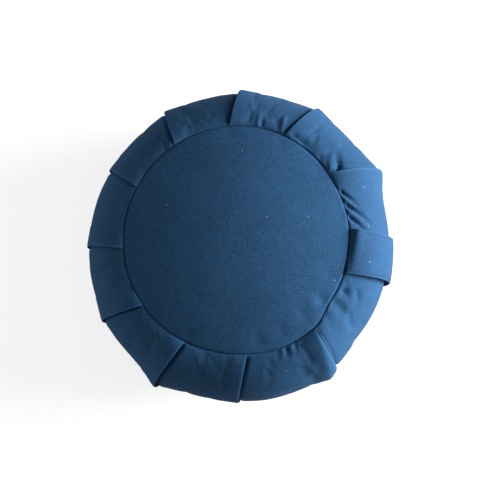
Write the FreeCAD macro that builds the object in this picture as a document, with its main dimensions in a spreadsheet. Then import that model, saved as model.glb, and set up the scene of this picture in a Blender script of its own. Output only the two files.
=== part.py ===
"""Round pleated floor cushion (a zafu) with a carry strap, drawn as a parametric document.

Millimetres. +Z is up, the origin is the middle of the base on the floor, and the carry strap is on +X.
The cover is two round panels and one pleated side band. Its ends meet behind the strap, where a short
zip closes them. Inside is a plain liner, and inside that the loose hull fill.
"""

import math
import os

import FreeCAD
import Part
import Sketcher

V = FreeCAD.Vector
doc = FreeCAD.newDocument("floor_cushion")

# ---------------------------------------------------------------- driving sizes

SIZES = [
    ("seam_radius", 124.0, "radius of the two round seams"),
    ("top_seam_height", 130.0, "top seam above the floor"),
    ("bottom_seam_height", 12.0, "bottom seam above the floor"),
    ("dome_rise", 20.0, "crown of the top panel above its seam"),
    ("band_bulge", 46.0, "how far the side band swells past the seams"),
    ("flat_radius", 105.0, "part of the bottom panel that lies flat"),
    ("cover_cloth", 1.2, "thickness of the cover's canvas"),
    ("seam_allowance", 6.0, "cloth turned in at the round seams"),
    ("ply_gap", 0.1, "air between curved layers that are sewn together"),
    ("thread_radius", 0.3, "sewing thread"),
    ("first_pleat_angle", 41.0, "first pleat, counted from the strap"),
    ("pleat_span", 278.0, "from the first pleat's fold to the last one's"),
    ("pleat_count", 10.0, "knife pleats round the band"),
    ("pleat_angle", 6.0, "how far a fold reaches back under its panel"),
    ("pleat_step", 2.4, "two more layers of canvas at a fold"),
    ("strap_width", 50.0, "carry strap across"),
    ("strap_cloth", 2.5, "strap, folded canvas in four layers"),
    ("finger_gap", 8.5, "strap clear of the band at mid height"),
    ("grip_half_angle", 40.0, "half of the strap's free middle part"),
    ("strap_seam_gap", 0.5, "each end of the strap outside its seam"),
    ("edge_stitch_inset", 3.0, "edge stitching in from the strap's sides"),
    ("strap_joint_gap", 0.3, "between the grip and the strap's two legs"),
    ("stitch_lift", 0.01, "edge stitching clear of the strap's face"),
    ("cut_past", 1.0, "how far a cutting shape goes past what it cuts"),
    ("cut_past_angle", 1.0, "the same, where the cut is counted in degrees"),
    ("zip_half_angle", 46.0, "half of the zip, seen from the band's centre line"),
    ("zip_mouth", 13.0, "opening between the band's two ends"),
    ("zip_sink", 0.8, "tape below the band's inner face"),
    ("tape_cloth", 0.7, "thickness of the zip's tape"),
    ("tape_reach", 15.0, "outer edge of each tape from the zip's middle"),
    ("coil_split", 1.2, "slit between the two coils"),
    ("coil_width", 2.8, "one coil across"),
    ("coil_height", 2.4, "one coil through"),
    ("closing_row_start", 3.0, "closing stitches begin this many degrees past the zip"),
    ("closing_row_end", 17.0, "closing stitches end this many degrees past the zip"),
    ("stop_angle", 2.0, "a stop along the zip"),
    ("stop_height", 0.8, "a stop above its coil"),
    ("slider_rest_gap", 0.5, "degrees between the closed slider and the top stops"),
    ("slider_half_angle", 4.8, "half of the slider along the zip"),
    ("slider_width", 9.0, "slider across"),
    ("slider_plate", 1.2, "each wing of the slider"),
    ("slider_neck", 0.6, "web between the two wings"),
    ("running_gap", 0.35, "slider clear of coils and tapes"),
    ("bail_lift", 1.45, "pull's pin above the slider's face"),
    ("bail_offset", 2.0, "pull's pin above the slider's middle"),
    ("pin_radius", 0.5, "pull's pin"),
    ("pin_gap", 0.2, "pull's eye round its pin"),
    ("bail_width", 3.8, "outside of the two ears"),
    ("bail_slot", 2.6, "inside of the two ears"),
    ("bail_length", 3.0, "each ear along the zip"),
    ("bail_rise", 0.9, "top of the ears above the pin's middle"),
    ("pull_neck", 3.0, "pull's narrow neck below its pin"),
    ("tab_length", 10.0, "pull tab below its pin"),
    ("tab_width", 5.0, "pull tab across"),
    ("tab_metal", 1.2, "pull tab through"),
    ("liner_cloth", 0.8, "thickness of the liner's calico"),
    ("liner_gap", 1.0, "liner clear of the cover's seams and panels"),
    ("fill_gap", 0.2, "fill clear of the liner"),
    ("fill_round", 15.0, "how much narrower the fill's flat base is than the cover's"),
]

sheet = doc.addObject("Spreadsheet::Sheet", "Sizes")
for row, (alias, value, note) in enumerate(SIZES, start=1):
    sheet.set("A%d" % row, alias)
    sheet.set("B%d" % row, str(value))
    sheet.set("C%d" % row, note)
    sheet.setAlias("B%d" % row, alias)
doc.recompute()


class Size:
    """A size that carries both its value now and the sheet formula that drives it."""

    def __init__(self, value, formula):
        self.value = float(value)
        self.formula = formula

    def join(self, other, sign, value):
        return Size(value, "(%s %s %s)" % (self.formula, sign, other.formula))

    def __add__(self, other):
        other = as_size(other)
        return self.join(other, "+", self.value + other.value)

    def __sub__(self, other):
        other = as_size(other)
        return self.join(other, "-", self.value - other.value)

    def __mul__(self, other):
        other = as_size(other)
        return self.join(other, "*", self.value * other.value)

    def __truediv__(self, other):
        other = as_size(other)
        return self.join(other, "/", self.value / other.value)

    def __neg__(self):
        return Size(-self.value, "(-1 * %s)" % self.formula)


def as_size(number):
    return number if isinstance(number, Size) else Size(number, repr(float(number)))


def root(size):
    return Size(math.sqrt(size.value), "sqrt(%s)" % size.formula)


def leg(hypotenuse, other_leg):
    """The third side of a right triangle."""
    return root(hypotenuse * hypotenuse - other_leg * other_leg)


def cosine(angle):
    return Size(math.cos(math.radians(angle.value)), "cos(%s)" % angle.formula)


def sine(angle):
    return Size(math.sin(math.radians(angle.value)), "sin(%s)" % angle.formula)


def angle_of_cosine(ratio):
    return Size(math.degrees(math.acos(ratio.value)), "(acos(%s) / 1 deg)" % ratio.formula)


def arc_angle(length, radius):
    """The angle that a length takes along an arc, in degrees."""
    return (length / radius) * math.degrees(1)


def arc_radius(half_chord, rise):
    """Radius of the arc that rises by rise over a chord."""
    return (half_chord * half_chord + rise * rise) / (rise * 2)


def sheet_size(alias):
    return Size(getattr(sheet, alias), "Sizes." + alias)


(seam_radius, top_seam, bottom_seam, dome_rise, band_bulge, flat_radius, cover_cloth,
 seam_allowance, ply_gap, thread_radius, first_pleat_angle, pleat_span, pleat_count,
 pleat_angle, pleat_step, strap_width, strap_cloth, finger_gap, grip_half_angle,
 strap_seam_gap, edge_stitch_inset, strap_joint_gap, stitch_lift, cut_past, cut_past_angle,
 zip_half_angle, zip_mouth, zip_sink, tape_cloth, tape_reach, coil_split, coil_width,
 coil_height, closing_row_start, closing_row_end, stop_angle, stop_height, slider_rest_gap, slider_half_angle,
 slider_width, slider_plate, slider_neck, running_gap, bail_lift, bail_offset, pin_radius,
 pin_gap, bail_width, bail_slot, bail_length, bail_rise, pull_neck, tab_length, tab_width,
 tab_metal, liner_cloth, liner_gap, fill_gap, fill_round) = [
    sheet_size(alias) for alias, value, note in SIZES]

# ---------------------------------------------------------------- sizes that follow from those

zero = as_size(0)
mid_height = (top_seam + bottom_seam) / 2
half_height = (top_seam - bottom_seam) / 2
crown_height = top_seam + dome_rise
dome_radius = arc_radius(seam_radius, dome_rise)

# the side band in section is one arc about (band_axis, mid_height)
band_radius = arc_radius(half_height, band_bulge)
band_axis = seam_radius + band_bulge - band_radius
band_inside = band_radius - cover_cloth

# the bottom panel's rim in section is an arc that leaves the floor at flat_radius
rim_radius = arc_radius(seam_radius - flat_radius, bottom_seam)

# the strap in section is one arc from seam to seam that swells further than the band
strap_bulge = band_bulge + finger_gap
strap_half_height = half_height + ply_gap
strap_inside = arc_radius(strap_half_height, strap_bulge)
strap_outside = strap_inside + strap_cloth
strap_axis = seam_radius + strap_bulge - strap_inside

# the zip lies along the band's own arc
tape_outside = band_inside - zip_sink
tape_inside = tape_outside - tape_cloth
coil_middle = (tape_outside + tape_inside) / 2
coil_outside = coil_middle + coil_height / 2
coil_inside = coil_middle - coil_height / 2
coil_far = coil_split / 2 + coil_width
slider_face = coil_outside + running_gap + slider_plate
slider_rest = zip_half_angle - stop_angle - slider_half_angle - slider_rest_gap
pin_depth = slider_face + bail_lift

# the liner hangs inside the cover, clear of the seam allowances
liner_radius = root((half_height - seam_allowance - liner_gap)
                    * (half_height - seam_allowance - liner_gap)
                    + (seam_radius - band_axis) * (seam_radius - band_axis))
liner_seam_radius = seam_radius - cover_cloth - liner_gap
liner_half_height = leg(liner_radius, liner_seam_radius - band_axis)
liner_top = mid_height + liner_half_height
liner_bottom = mid_height - liner_half_height
liner_floor = cover_cloth + liner_gap
liner_crown = crown_height - cover_cloth - liner_gap
liner_thread_drop = liner_cloth + thread_radius * 4

# ---------------------------------------------------------------- small tools

XY, XZ, YZ = "XY_Plane", "XZ_Plane", "YZ_Plane"
subparts = []


def new_body(name):
    body = doc.addObject("PartDesign::Body", name)
    body.Label = name
    subparts.append(body)
    return body


def new_sketch(body, name, plane):
    sketch = body.newObject("Sketcher::SketchObject", body.Label + "_" + name)
    face = [part for part in body.Origin.OriginFeatures if part.Role == plane][0]
    sketch.AttachmentSupport = [(face, "")]
    sketch.MapMode = "FlatFace"
    return sketch


def bind(thing, prop, size):
    thing.setExpression(prop, as_size(size).formula)


def limit(sketch, kind, size, *places):
    """One dimension of a sketch, bound to the sheet."""
    index = sketch.addConstraint(Sketcher.Constraint(kind, *places, size.value))
    sketch.setExpression("Constraints[%d]" % index, size.formula)


def pin(sketch, edge, end, across, up):
    """Fixes a point of a sketch by its distances from the sketch's origin."""
    limit(sketch, "DistanceX", across, -1, 1, edge, end)
    limit(sketch, "DistanceY", up, -1, 1, edge, end)


def outline(sketch, steps):
    """A closed outline. Each step is (across, up) for a straight side that starts there, or
    (across, up, radius, side) for an arc that starts there and swells to its left (1) or right (-1)."""
    first = sketch.GeometryCount
    for n, step in enumerate(steps):
        after = steps[(n + 1) % len(steps)]
        start = V(step[0].value, step[1].value, 0)
        end = V(after[0].value, after[1].value, 0)
        if len(step) == 2:
            sketch.addGeometry(Part.LineSegment(start, end))
        else:
            half = (end - start) / 2
            reach = step[2].value
            rise = reach - math.sqrt(max(reach * reach - half.Length * half.Length, 0))
            left = V(-half.y, half.x, 0).normalize()
            sketch.addGeometry(Part.Arc(start, start + half + left * rise * step[3], end))
    ends = []
    for n, step in enumerate(steps):
        # an arc in a sketch always runs anticlockwise, so one that swells to its left starts at its end
        backward = len(step) == 4 and step[3] == 1
        ends.append((2, 1) if backward else (1, 2))
    for n, step in enumerate(steps):
        after = (n + 1) % len(steps)
        sketch.addConstraint(Sketcher.Constraint(
            "Coincident", first + n, ends[n][1], first + after, ends[after][0]))
        pin(sketch, first + n, ends[n][0], step[0], step[1])
        if len(step) == 4:
            limit(sketch, "Radius", step[2], first + n)
    return first


def arc_strip(sketch, axis, height, inside, outside, low, high):
    """A strip between two arcs about (axis, height), from angle low to angle high in degrees."""
    points = []
    for radius, angle in ((outside, low), (outside, high), (inside, high), (inside, low)):
        points.append((axis + radius * cosine(angle), height + radius * sine(angle)))
    outline(sketch, [points[0] + (outside, -1), points[1], points[2] + (inside, 1), points[3]])


def circle(sketch, across, up, radius):
    edge = sketch.addGeometry(Part.Circle(V(across.value, up.value, 0), V(0, 0, 1), radius.value))
    pin(sketch, edge, 3, across, up)
    limit(sketch, "Radius", radius, edge)


def turn(body, sketch, name="turned"):
    """Turns a section about the cushion's upright axis."""
    feature = body.newObject("PartDesign::Revolution", body.Label + "_" + name)
    feature.Profile = sketch
    feature.ReferenceAxis = (sketch, ["V_Axis"])
    feature.Angle = 360
    return feature


def pad(body, sketch, name, width):
    """Pads a section evenly to both sides of its plane."""
    feature = body.newObject("PartDesign::Pad", body.Label + "_" + name)
    feature.Profile = sketch
    feature.SideType = "Symmetric"
    bind(feature, "Length", width)
    return feature


def cut(body, sketch, name, width):
    """Cuts a section evenly to both sides of its plane."""
    feature = body.newObject("PartDesign::Pocket", body.Label + "_" + name)
    feature.Profile = sketch
    feature.SideType = "Symmetric"
    bind(feature, "Length", width)
    return feature


# ---------------------------------------------------------------- the cover


def make_top_panel():
    """A crowned round panel with its edge turned down inside the seam."""
    body = new_body("top_panel")
    sketch = new_sketch(body, "section", XZ)
    inside = dome_radius - cover_cloth
    rim = seam_radius - cover_cloth
    under = crown_height - dome_radius + leg(inside, rim)
    outline(sketch, [
        (rim, under, inside, -1),
        (zero, crown_height - cover_cloth),
        (zero, crown_height, dome_radius, 1),
        (seam_radius, top_seam),
        (seam_radius, top_seam - seam_allowance),
        (rim, top_seam - seam_allowance),
    ])
    turn(body, sketch)


def make_bottom_panel():
    """A round panel, flat where it lies on the floor, that curves up to its seam."""
    body = new_body("bottom_panel")
    sketch = new_sketch(body, "section", XZ)
    inside = rim_radius - cover_cloth
    rim = seam_radius - cover_cloth
    above = rim_radius - leg(inside, rim - flat_radius)
    outline(sketch, [
        (zero, zero),
        (flat_radius, zero, rim_radius, -1),
        (seam_radius, bottom_seam),
        (seam_radius, bottom_seam + seam_allowance),
        (rim, bottom_seam + seam_allowance),
        (rim, above, inside, 1),
        (flat_radius, cover_cloth),
        (zero, cover_cloth),
    ])
    turn(body, sketch)


def make_side_band():
    """The long strip between the panels, swollen by the fill, with its knife pleats and zip mouth."""
    body = new_body("side_band")
    wall = new_sketch(body, "wall", XZ)
    fold = seam_radius + cover_cloth
    lip = leg(band_inside, fold - band_axis)
    outline(wall, [
        (seam_radius, bottom_seam, band_radius, -1),
        (seam_radius, top_seam),
        (seam_radius, top_seam - seam_allowance),
        (fold, top_seam - seam_allowance),
        (fold, mid_height + lip, band_inside, 1),
        (fold, mid_height - lip),
        (fold, bottom_seam + seam_allowance),
        (seam_radius, bottom_seam + seam_allowance),
    ])
    turn(body, wall)

    # each pleat's two extra layers grow out of the wall's middle, and stand proud along their fold
    pleat = new_sketch(body, "pleat", XZ)
    core = band_radius - cover_cloth / 2
    reach = leg(core, fold - band_axis)
    swell = arc_radius(reach, band_axis + band_radius + pleat_step - fold)
    outline(pleat, [
        (fold, mid_height - reach, swell, -1),
        (fold, mid_height + reach, core, 1),
    ])
    pleat.AttachmentOffset = FreeCAD.Placement(
        V(0, 0, 0), FreeCAD.Rotation(V(0, 1, 0), (first_pleat_angle - pleat_angle).value))
    bind(pleat, "AttachmentOffset.Rotation.Angle", first_pleat_angle - pleat_angle)
    layers = turn(body, pleat, "pleat_layers")
    layers.Reversed = True
    bind(layers, "Angle", pleat_angle)
    row = body.newObject("PartDesign::PolarPattern", "side_band_pleats")
    row.Originals = [layers]
    row.Axis = (wall, ["V_Axis"])
    bind(row, "Angle", pleat_span)
    bind(row, "Occurrences", pleat_count)
    body.Tip = row

    mouth = new_sketch(body, "mouth", XZ)
    low = mid_height - band_radius * sine(zip_half_angle)
    high = mid_height + band_radius * sine(zip_half_angle)
    near = band_axis
    far = seam_radius + band_bulge * 2
    outline(mouth, [(near, low), (far, low), (far, high), (near, high)])
    cut(body, mouth, "zip_mouth", zip_mouth)


def make_round_seam(name, radius, height, layer):
    """The needle thread and the bobbin thread of one round seam, one on each face of its two layers."""
    rings = []
    for side, reach in (("needle", radius - layer - thread_radius),
                        ("bobbin", radius + layer + thread_radius)):
        ring = doc.addObject("Part::Torus", "%s_%s" % (name, side))
        bind(ring, "Radius1", reach)
        bind(ring, "Radius2", thread_radius)
        bind(ring, "Placement.Base.z", height)
        rings.append(ring)
    both = doc.addObject("Part::Compound", name)
    both.Label = name
    both.Links = rings
    subparts.append(both)


def make_closing_seam():
    """The stitches that join the band's two ends above and below the zip."""
    body = new_body("closing_seam_thread")
    outer = band_inside - ply_gap
    inner = outer - thread_radius * 2
    for name, sign in (("upper", 1), ("lower", -1)):
        sketch = new_sketch(body, name, XZ)
        start = (zip_half_angle + closing_row_start) * sign
        finish = (zip_half_angle + closing_row_end) * sign
        if sign == 1:
            arc_strip(sketch, band_axis, mid_height, inner, outer, start, finish)
        else:
            arc_strip(sketch, band_axis, mid_height, inner, outer, finish, start)
        pad(body, sketch, name + "_row", thread_radius * 2)


# ---------------------------------------------------------------- the carry strap


def make_strap_part(name, low, high):
    body = new_body(name)
    sketch = new_sketch(body, "section", XZ)
    arc_strip(sketch, strap_axis, mid_height, strap_inside, strap_outside, low, high)
    pad(body, sketch, "strap", strap_width)


def make_strap():
    """The strap's free middle part, and the two legs that bend when it is pulled."""
    start = grip_half_angle + arc_angle(strap_joint_gap, strap_inside)
    end = angle_of_cosine((seam_radius + strap_seam_gap - strap_axis) / strap_inside)
    make_strap_part("handle_grip", -grip_half_angle, grip_half_angle)
    make_strap_part("handle_upper_leg", start, end)
    make_strap_part("handle_lower_leg", -end, -start)


def make_strap_stitching():
    """Two rows of edge stitches along the grip's outer face."""
    body = new_body("handle_edge_stitching")
    inner = strap_outside + stitch_lift
    outer = inner + thread_radius
    row_width = thread_radius * 2
    half = strap_width / 2 - edge_stitch_inset
    sketch = new_sketch(body, "rows", XZ)
    arc_strip(sketch, strap_axis, mid_height, inner, outer, -grip_half_angle, grip_half_angle)
    pad(body, sketch, "rows_pad", half * 2 + row_width)
    middle = new_sketch(body, "middle", XZ)
    arc_strip(middle, strap_axis, mid_height, inner - cut_past, outer + cut_past,
              -(grip_half_angle + cut_past_angle), grip_half_angle + cut_past_angle)
    cut(body, middle, "between_rows", half * 2 - row_width)


# ---------------------------------------------------------------- the zip


def make_zip_side(side, sign):
    """One tape and its coil. The left one is on -Y, seen from outside with +Z up."""
    for name, near, far, inner, outer in (
            ("tape", coil_far, tape_reach, tape_inside, tape_outside),
            ("coil", coil_split / 2, coil_far, coil_inside, coil_outside)):
        body = new_body("zip_%s_%s" % (name, side))
        sketch = new_sketch(body, "section", XZ)
        arc_strip(sketch, band_axis, mid_height, inner, outer, -zip_half_angle, zip_half_angle)
        # the sketch's own normal is -Y, so a positive offset moves it to -Y
        middle = (near + far) / 2 * sign
        sketch.AttachmentOffset = FreeCAD.Placement(V(0, 0, middle.value), FreeCAD.Rotation())
        bind(sketch, "AttachmentOffset.Base.z", middle)
        pad(body, sketch, name, far - near)


def make_zip_stitching():
    """The two rows that sew the tapes to the folded edges of the band."""
    body = new_body("zip_stitching")
    inner = band_radius + ply_gap
    outer = inner + thread_radius * 2
    half = (zip_mouth / 2 + tape_reach) / 2
    sketch = new_sketch(body, "rows", XZ)
    arc_strip(sketch, band_axis, mid_height, inner, outer, -zip_half_angle, zip_half_angle)
    pad(body, sketch, "rows_pad", (half + thread_radius) * 2)
    middle = new_sketch(body, "middle", XZ)
    arc_strip(middle, band_axis, mid_height, inner - cut_past, outer + cut_past,
              -(zip_half_angle + cut_past_angle), zip_half_angle + cut_past_angle)
    cut(body, middle, "between_rows", (half - thread_radius) * 2)


def make_zip_stops():
    """Two small top stops, one on each coil, and one bottom stop across both."""
    over = coil_outside + ply_gap
    top = new_body("zip_top_stops")
    sketch = new_sketch(top, "section", XZ)
    arc_strip(sketch, band_axis, mid_height, over, over + stop_height,
              zip_half_angle - stop_angle, zip_half_angle)
    pad(top, sketch, "stops", coil_far * 2)
    slit = new_sketch(top, "slit", XZ)
    arc_strip(slit, band_axis, mid_height, over - cut_past, over + stop_height + cut_past,
              zip_half_angle - stop_angle - cut_past_angle, zip_half_angle + cut_past_angle)
    cut(top, slit, "between_stops", coil_split)

    bottom = new_body("zip_bottom_stop")
    sketch = new_sketch(bottom, "section", XZ)
    arc_strip(sketch, band_axis, mid_height, over, over + stop_height,
              -zip_half_angle, -(zip_half_angle - stop_angle))
    pad(bottom, sketch, "stop", coil_far * 2)


def slider_placement():
    return FreeCAD.Placement(
        V(0, 0, 0),
        FreeCAD.Rotation(V(0, 1, 0), -slider_rest.value),
        V(band_axis.value, 0, mid_height.value),
    )


def make_slider():
    """Two wings and the web between them, turned along the zip's arc, with two ears and a pin."""
    body = new_body("zip_slider")
    half = slider_width / 2
    web = slider_neck / 2
    groove = coil_far + running_gap
    upper_wing = slider_face - slider_plate
    upper_lip = tape_outside + running_gap
    lower_wing = coil_inside - running_gap
    lower_lip = tape_inside - running_gap
    back = lower_wing - slider_plate
    corners = [
        (slider_face, -half), (slider_face, half), (upper_lip, half), (upper_lip, groove),
        (upper_wing, groove), (upper_wing, web), (lower_wing, web), (lower_wing, groove),
        (lower_lip, groove), (lower_lip, half), (back, half), (back, -half),
        (lower_lip, -half), (lower_lip, -groove), (lower_wing, -groove), (lower_wing, -web),
        (upper_wing, -web), (upper_wing, -groove), (upper_lip, -groove), (upper_lip, -half),
    ]
    section = new_sketch(body, "section", XY)
    section.AttachmentOffset = FreeCAD.Placement(
        V(band_axis.value, 0, mid_height.value), FreeCAD.Rotation())
    bind(section, "AttachmentOffset.Base.x", band_axis)
    bind(section, "AttachmentOffset.Base.z", mid_height)
    outline(section, corners)
    wings = body.newObject("PartDesign::Revolution", "zip_slider_wings")
    wings.Profile = section
    wings.ReferenceAxis = (section, ["V_Axis"])
    wings.Midplane = True
    bind(wings, "Angle", slider_half_angle * 2)

    pin_across = band_axis + pin_depth
    pin_up = mid_height + bail_offset
    ear = new_sketch(body, "ear", XZ)
    sunk = band_axis + slider_face - slider_plate / 2
    ear_top = pin_across + bail_rise
    ear_half = bail_length / 2
    outline(ear, [(sunk, pin_up - ear_half), (ear_top, pin_up - ear_half),
                  (ear_top, pin_up + ear_half), (sunk, pin_up + ear_half)])
    pad(body, ear, "ears", bail_width)
    gap = new_sketch(body, "ear_gap", XZ)
    floor = band_axis + slider_face
    outline(gap, [(floor, pin_up - bail_length), (ear_top + cut_past, pin_up - bail_length),
                  (ear_top + cut_past, pin_up + bail_length), (floor, pin_up + bail_length)])
    cut(body, gap, "ear_gap_cut", bail_slot)
    axle = new_sketch(body, "axle", XZ)
    circle(axle, pin_across, pin_up, pin_radius)
    pad(body, axle, "axle_pad", bail_width)
    body.Placement = slider_placement()


def make_pull_tab():
    """The pull: an eye round the slider's pin, a neck and a flat tab that lies along the zip."""
    body = new_body("zip_pull_tab")
    pin_across = band_axis + pin_depth
    pin_up = mid_height + bail_offset
    hole = pin_radius + pin_gap
    wall = pin_radius
    neck_width = bail_slot - pin_gap * 2
    eye = new_sketch(body, "eye", XZ)
    circle(eye, pin_across, pin_up, hole + wall)
    pad(body, eye, "eye_pad", neck_width)
    near = pin_across - tab_metal / 2
    far = pin_across + tab_metal / 2
    neck_end = pin_up - pull_neck
    neck = new_sketch(body, "neck", XZ)
    outline(neck, [(near, neck_end - cut_past), (far, neck_end - cut_past), (far, pin_up), (near, pin_up)])
    pad(body, neck, "neck_pad", neck_width)
    tab = new_sketch(body, "tab", XZ)
    outline(tab, [(near, pin_up - tab_length), (far, pin_up - tab_length),
                  (far, neck_end), (near, neck_end)])
    pad(body, tab, "tab_pad", tab_width)
    bore = new_sketch(body, "bore", XZ)
    circle(bore, pin_across, pin_up, hole)
    cut(body, bore, "bore_cut", tab_width)
    body.Placement = slider_placement()


# ---------------------------------------------------------------- the liner and its fill


def make_liner():
    """Three plain pieces of calico, clear of everything sewn into the cover."""
    thin = liner_cloth
    rise = liner_crown - liner_top
    dome = arc_radius(liner_seam_radius, rise)
    body = new_body("liner_top_panel")
    sketch = new_sketch(body, "section", XZ)
    outline(sketch, [
        (liner_seam_radius, liner_top - thin, dome, -1),
        (zero, liner_crown - thin),
        (zero, liner_crown, dome, 1),
        (liner_seam_radius, liner_top),
    ])
    turn(body, sketch)

    rim = arc_radius(liner_seam_radius - flat_radius, liner_bottom - liner_floor)
    body = new_body("liner_bottom_panel")
    sketch = new_sketch(body, "section", XZ)
    outline(sketch, [
        (zero, liner_floor),
        (flat_radius, liner_floor, rim, -1),
        (liner_seam_radius, liner_bottom),
        (liner_seam_radius, liner_bottom + thin, rim, 1),
        (flat_radius, liner_floor + thin),
        (zero, liner_floor + thin),
    ])
    turn(body, sketch)

    body = new_body("liner_side_panel")
    sketch = new_sketch(body, "section", XZ)
    inner = liner_radius - thin
    start = liner_seam_radius + ply_gap
    outline(sketch, [
        (start, mid_height - leg(liner_radius, start - band_axis), liner_radius, -1),
        (start, mid_height + leg(liner_radius, start - band_axis)),
        (start, mid_height + leg(inner, start - band_axis), inner, 1),
        (start, mid_height - leg(inner, start - band_axis)),
    ])
    turn(body, sketch)


def make_liner_seam(name, height):
    """The row of stitches that closes one round edge of the liner."""
    ring = doc.addObject("Part::Torus", name)
    ring.Label = name
    bind(ring, "Radius1", liner_seam_radius - liner_cloth - thread_radius)
    bind(ring, "Radius2", thread_radius)
    bind(ring, "Placement.Base.z", height)
    subparts.append(ring)


def make_fill():
    """The heap of loose hulls, as one closed form that the liner holds."""
    edge = liner_seam_radius - liner_cloth - thread_radius * 4 - fill_gap
    half = liner_half_height - liner_thread_drop - thread_radius - fill_gap * 2
    side_arc = arc_radius(half, band_axis + liner_radius - liner_cloth - fill_gap - edge)
    crown = liner_crown - liner_cloth - thread_radius * 4 - fill_gap
    floor = liner_floor + liner_cloth + fill_gap
    base = flat_radius - fill_round
    dome = arc_radius(edge, crown - mid_height - half)
    rim = arc_radius(edge - base, mid_height - half - floor)
    body = new_body("hull_fill")
    sketch = new_sketch(body, "section", XZ)
    outline(sketch, [
        (zero, floor),
        (base, floor, rim, -1),
        (edge, mid_height - half, side_arc, -1),
        (edge, mid_height + half, dome, -1),
        (zero, crown),
    ])
    turn(body, sketch)


# ---------------------------------------------------------------- build, check and write

make_top_panel()
make_bottom_panel()
make_side_band()
make_round_seam("top_seam_thread", seam_radius, top_seam - seam_allowance / 2, cover_cloth)
make_round_seam("bottom_seam_thread", seam_radius, bottom_seam + seam_allowance / 2, cover_cloth)
make_closing_seam()
make_strap()
make_strap_stitching()
make_zip_side("left", 1)
make_zip_side("right", -1)
make_zip_stitching()
make_zip_stops()
make_slider()
make_pull_tab()
make_liner()
make_liner_seam("liner_top_seam_thread", liner_top - liner_thread_drop)
make_liner_seam("liner_bottom_seam_thread", liner_bottom + liner_thread_drop)
make_fill()
doc.recompute()

for thing in doc.Objects:
    if "Invalid" in thing.State or "Error" in thing.State:
        raise RuntimeError("%s did not build: %s" % (thing.Label, thing.State))
for part in subparts:
    if part.Shape.isNull() or not part.Shape.isValid() or not part.Shape.Solids:
        raise RuntimeError("%s has no valid solid" % part.Label)

os.makedirs("parts", exist_ok=True)
for part in subparts:
    part.Shape.exportStep("parts/%s.step" % part.Label)
    box = part.Shape.BoundBox
    print("%-26s %d solid(s) %10.0f mm3  x %.1f..%.1f y %.1f..%.1f z %.1f..%.1f" % (
        part.Label, len(part.Shape.Solids), part.Shape.Volume,
        box.XMin, box.XMax, box.YMin, box.YMax, box.ZMin, box.ZMax))

pin_place = slider_placement().multVec(
    V(band_axis.value + pin_depth.value, 0, mid_height.value + bail_offset.value))
print("zip travel turns about x %.3f z %.3f, by %.1f degrees" % (
    band_axis.value, mid_height.value, 2 * slider_rest.value))
print("pull turns about x %.3f z %.3f" % (pin_place.x, pin_place.z))
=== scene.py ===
# %% [markdown]
# # Round pleated floor cushion
# A zafu: two round panels of blue canvas, a side band folded into ten knife pleats, a carry strap over the
# place where the band's two ends meet, and a short zip behind the strap. The working parts come packed, with
# their sizes and joints. This lesson dresses them: it makes the cloth, the stitches and the light.

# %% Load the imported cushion
import math

import bmesh
import bpy
import numpy as np
from mathutils import Matrix, Vector


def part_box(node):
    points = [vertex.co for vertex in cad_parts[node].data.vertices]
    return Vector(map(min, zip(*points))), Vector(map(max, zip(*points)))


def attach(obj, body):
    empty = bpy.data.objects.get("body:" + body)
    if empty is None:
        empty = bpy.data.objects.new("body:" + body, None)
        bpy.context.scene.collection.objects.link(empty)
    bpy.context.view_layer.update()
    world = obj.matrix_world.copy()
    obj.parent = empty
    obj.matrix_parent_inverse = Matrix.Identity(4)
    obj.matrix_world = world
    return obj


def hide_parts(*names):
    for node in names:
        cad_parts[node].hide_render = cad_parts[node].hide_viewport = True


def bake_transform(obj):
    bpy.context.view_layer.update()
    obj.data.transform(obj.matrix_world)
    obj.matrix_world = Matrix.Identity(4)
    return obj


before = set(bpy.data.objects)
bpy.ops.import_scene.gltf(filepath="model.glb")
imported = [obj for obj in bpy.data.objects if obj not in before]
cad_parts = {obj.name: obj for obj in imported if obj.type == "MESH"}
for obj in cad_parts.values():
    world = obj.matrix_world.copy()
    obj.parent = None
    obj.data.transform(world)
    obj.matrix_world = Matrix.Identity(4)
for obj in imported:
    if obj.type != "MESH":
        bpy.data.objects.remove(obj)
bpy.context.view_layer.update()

MM = 0.001

# %% [markdown]
# ## Sizes
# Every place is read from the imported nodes, so the cloth follows the working parts. In section the side
# band is one arc. Its centre is found from its three known points: the two seams and the widest place
# between them. Everything that goes round the cushion is then given as a turn, counted from the strap, and
# everything that goes down the band as a share, 0 at the top seam and 1 at the bottom one.

# %% The cushion's main sizes
panel_low, panel_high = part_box("top_panel")
band_low, band_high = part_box("side_band")
grip_low, grip_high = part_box("handle_grip")

FOLD_STEP = 2.4 * MM          # the two extra layers at a pleat
SEAM_RADIUS = panel_high[0]
TOP_SEAM = band_high[2]
BOTTOM_SEAM = band_low[2]
CROWN = panel_high[2]
MIDDLE = (TOP_SEAM + BOTTOM_SEAM) / 2
WIDEST = band_high[1] - FOLD_STEP
half_height = (TOP_SEAM - BOTTOM_SEAM) / 2
swell = WIDEST - SEAM_RADIUS
ARC_RADIUS = (half_height ** 2 + swell ** 2) / (2 * swell)
ARC_AXIS = WIDEST - ARC_RADIUS
SEAM_RISE = math.asin(half_height / ARC_RADIUS)
BAND_DEPTH = 2 * SEAM_RISE * ARC_RADIUS      # from seam to seam, down over the arc
ZIP_RISE = math.radians(46)                  # the zip reaches this far up and down the arc
print("seam radius %.4f, widest %.4f, arc %.4f about %.4f" % (SEAM_RADIUS, WIDEST, ARC_RADIUS, ARC_AXIS))

# %% [markdown]
# ## Small tools
# Two ideas do most of the modelling. A grid made by one operator is bent into place by a rule that says where
# each of its points goes, which suits cloth, because cloth is a bent sheet. And a drawn profile is spun round
# an axis, which suits anything turned. Both could be drawn by hand in edit mode, but a rule can be read, and
# a changed size then changes the piece.


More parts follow.
